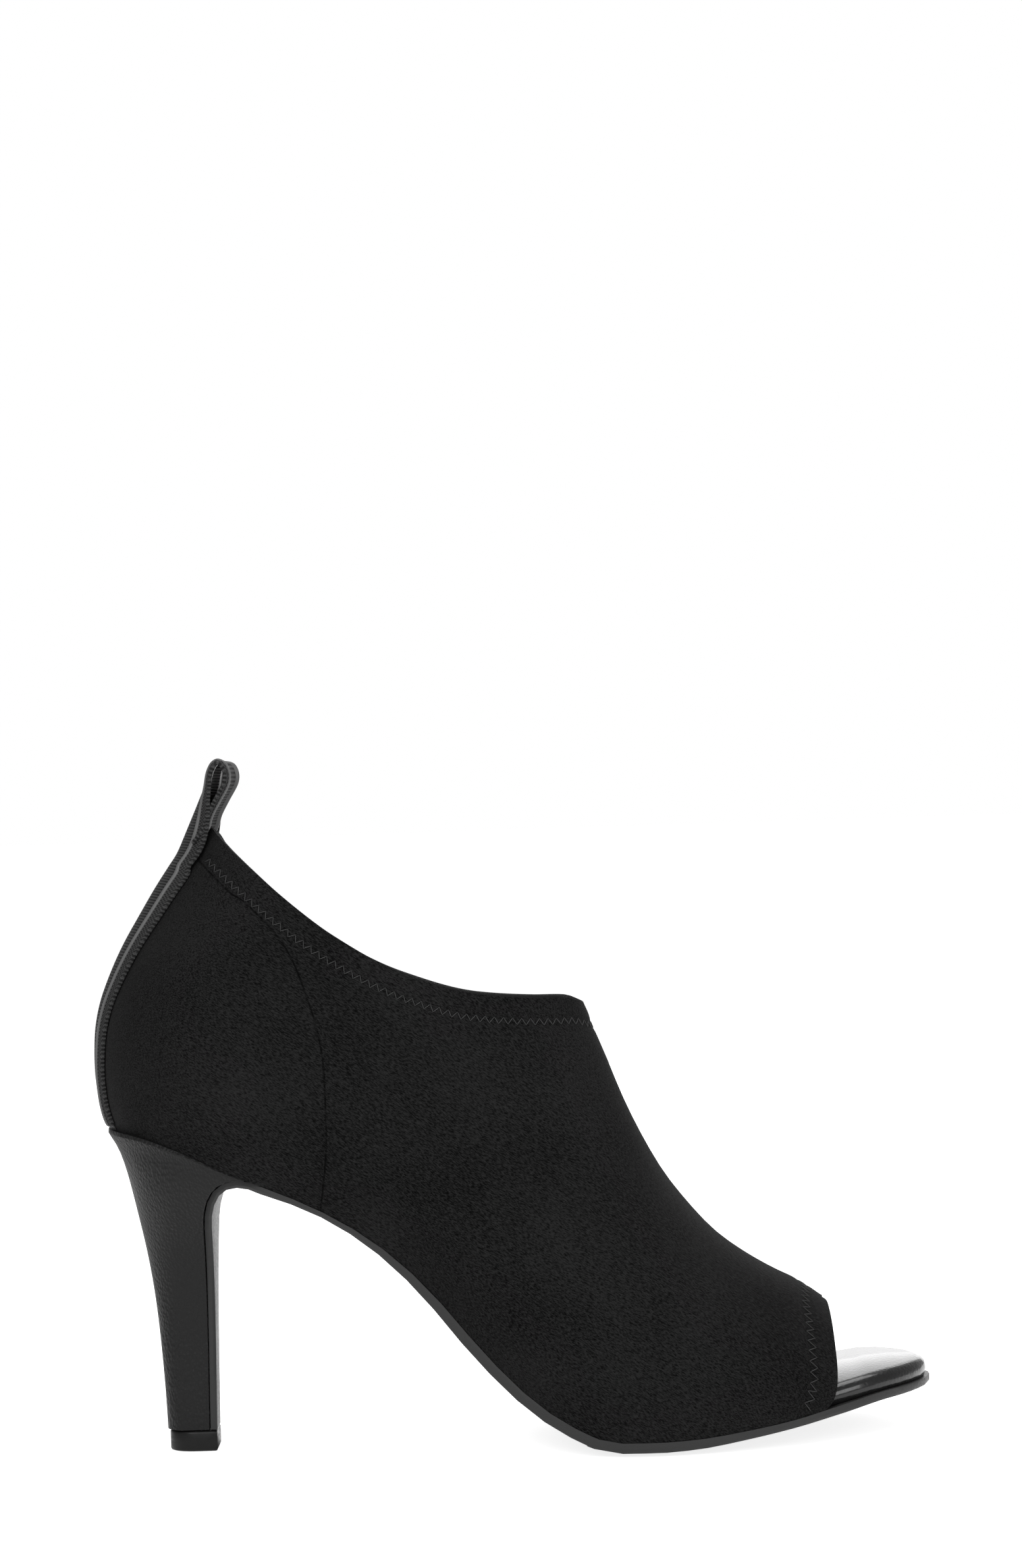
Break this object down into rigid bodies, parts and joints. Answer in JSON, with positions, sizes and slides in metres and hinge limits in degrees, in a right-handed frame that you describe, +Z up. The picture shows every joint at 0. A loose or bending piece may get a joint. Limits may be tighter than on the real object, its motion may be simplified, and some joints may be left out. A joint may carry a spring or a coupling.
{
  "type": "peep toe ankle boot",
  "caption": "Slim-heeled peep toe ankle boot in stretch suede, right foot, with a slanted collar, padded footbed and a woven pull loop at the back.",
  "frame": {"origin": "middle of the heel tip, where it stands on the floor", "axes": "+X from heel to toe, +Y from the outer side of the foot to the inner side, +Z up"},
  "size_m": [0.2273, 0.0795, 0.1885],
  "materials": {
    "suede": "black stretch microsuede with a short soft nap",
    "padding": "black grained synthetic leather, semi-gloss, padded",
    "rubber": "black satin",
    "cover": "black fine-grained synthetic leather, semi-gloss",
    "hard": "black, hard, slightly shiny",
    "webbing": "black woven tape with a ribbed middle"
  },
  "bodies": {
    "root": {"upper": "suede", "insole": "padding", "outsole": "rubber", "heel": "cover", "heel_tip": "hard", "back_tape": "webbing"}
  },
  "joints": []
}
